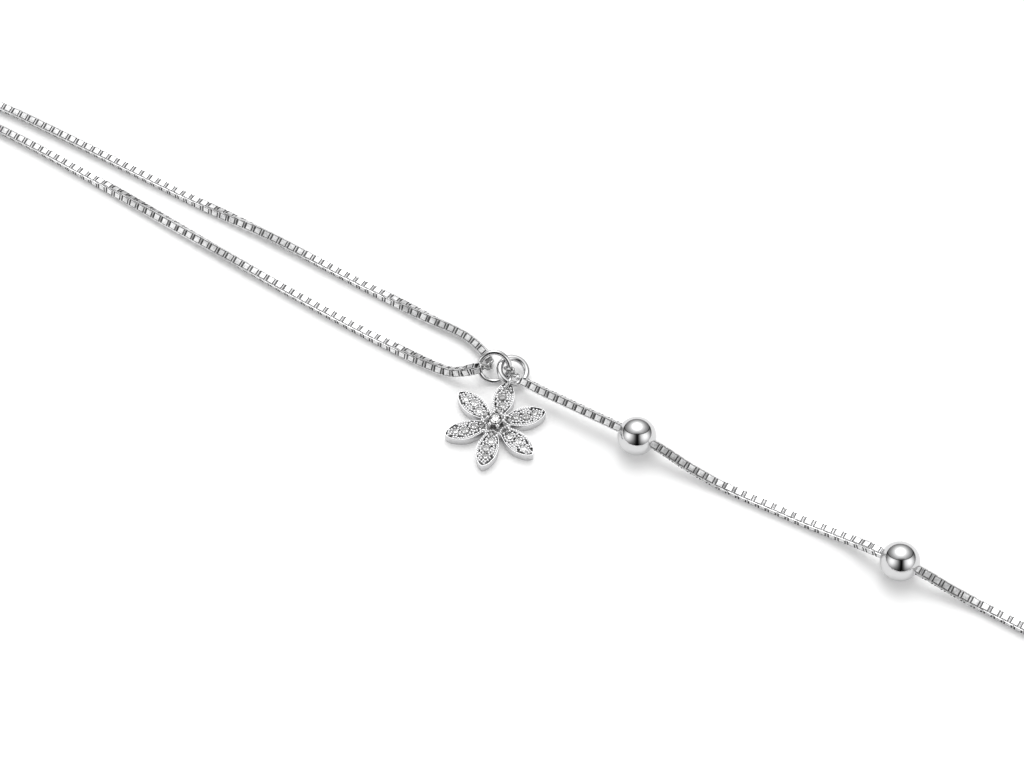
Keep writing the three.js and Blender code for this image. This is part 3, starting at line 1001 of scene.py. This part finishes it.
def makeCentre(brilliant):  # the boss with its neck and prongs, and the stone on top
    sizes = centreSizes
    startFresh()
    bpy.ops.mesh.primitive_cylinder_add(
        vertices=48, radius=sizes["cupRadius"] * mm, depth=sizes["cupStep"] * mm,
        location=(0, 0, sizes["cupStep"] / 2 * mm), end_fill_type="NGON")
    cup = bpy.context.object
    bake(cup)
    bpy.ops.object.mode_set(mode="EDIT")
    pick("faces", lambda face: face.normal.z > 0.9)
    bpy.ops.mesh.inset(thickness=(sizes["cupRadius"] - sizes["neck"] - sizes["neckFlare"]) * mm)
    bpy.ops.transform.translate(value=(0, 0, (sizes["neckFoot"] - sizes["cupStep"]) * mm))
    bpy.ops.mesh.extrude_region_move(
        TRANSFORM_OT_translate={"value": (0, 0, (sizes["neckTop"] - sizes["neckFoot"]) * mm)})
    bpy.ops.mesh.inset(thickness=sizes["wall"] * mm)
    bpy.ops.mesh.extrude_region_move(TRANSFORM_OT_translate={"value": (0, 0, -sizes["hollow"] * mm)})
    pick("edges", lambda edge: edge.calc_face_angle(0) > math.radians(50))
    bpy.ops.mesh.bevel(offset=sizes["edge"] * mm, segments=2)
    bpy.ops.object.mode_set(mode="OBJECT")
    smoothed(cup, 30)
    cup.data.materials.append(wallSilver)
    cup.data.materials.append(bedPaintedShade)
    low, high = sizes["paintedShadeHeights"]
    # Painted shade on the neck's outer wall and in the hollow, round the prongs and under the stone.
    for face in cup.data.polygons:
        inHollow = math.hypot(face.center.x, face.center.y) < sizes["paintedShadeInside"] * mm
        onNeck = low * mm < face.center.z < high * mm
        face.material_index = 1 if inHollow or onNeck else 0
    parts = [cup]
    for k in range(petalSizes["count"]):
        x, y = polar(sizes["prongCircle"], petalSizes["turn"] + petalSizes["step"] * (k + 0.5))
        foot, top = sizes["prongFoot"], sizes["tableHeight"] - sizes["prongBall"]
        startFresh()
        bpy.ops.mesh.primitive_cylinder_add(
            vertices=16, radius=sizes["prongRadius"] * mm, depth=(top - foot) * mm,
            location=inMm(x, y, (top + foot) / 2))
        post = bake(bpy.context.object)
        bpy.ops.mesh.primitive_uv_sphere_add(
            segments=18, ring_count=12, radius=sizes["prongBall"] * mm, location=inMm(x, y, top))
        ball = bake(bpy.context.object)
        # Prongs wear the same lighter silver: painted light.
        for piece in (post, ball):
            smoothed(piece, 60).data.materials.append(grainSilverPaintedLight)
            parts.append(piece)
    height = (sizes["tableHeight"] - stoneSizes["sink"] * sizes["stoneRadius"]) * mm
    place = Matrix.Translation((0, 0, height))
    stone = copyAt(brilliant, place @ Matrix.Scale(sizes["stoneRadius"] * mm, 4))
    return parts, stone


bailSizes = {"bearing": 252, "radius": 0.48, "wire": 0.13}


def makeBail():  # the loop between the top petal and the thick ring
    place = wirePoint(charmRing, bailSizes["bearing"])
    axis = ringAxis(charmRing).cross(place - inMm(*charmRing["place"]))
    # The bail wears the lighter rim silver: painted highlight.
    return wireLoop(place, axis, bailSizes["radius"], bailSizes["wire"], rimSilverPaintedLight)


makeFlower()
print("flower is set")


claspSizes = {
    "place": (-16, -35, 1.1),
    "length": 6.4,
    "radius": 1.1,
    "rounding": 0.35,
    "wire": 0.2,
    "single": (0.55, 0.75),  # the loop for the beaded chain: reach past the barrel's end, radius
    "double": (0.75, 1.0),  # the loop for both strands of the folded chain
}


def makeClasp():  # a plain barrel with a fixed loop at each end
    sizes = claspSizes
    startFresh()
    place = inMm(*sizes["place"])
    bpy.ops.mesh.primitive_cylinder_add(
        vertices=48, radius=sizes["radius"] * mm, depth=sizes["length"] * mm, location=place,
        rotation=(0, math.pi / 2, 0))
    barrel = bake(bpy.context.object)
    bpy.ops.object.mode_set(mode="EDIT")
    pick("edges", lambda edge: edge.calc_face_angle(0) > math.radians(60))
    bpy.ops.mesh.bevel(offset=sizes["rounding"] * mm, segments=5)
    bpy.ops.object.mode_set(mode="OBJECT")
    half = sizes["length"] / 2
    up = Vector((0, 0, 1))
    reach, radius = sizes["single"]
    single = wireLoop(place + inMm(half + reach, 0, 0), up, radius, sizes["wire"], ringSilver)
    reach, radius = sizes["double"]
    double = wireLoop(place - inMm(half + reach, 0, 0), up, radius, sizes["wire"], ringSilver)
    clasp = joined([smoothed(barrel, 40), single, double], "barrelClasp")
    dress(clasp, ringSilver, "barrel_clasp")


makeClasp()
print("clasp is closed")

bpy.context.view_layer.update()
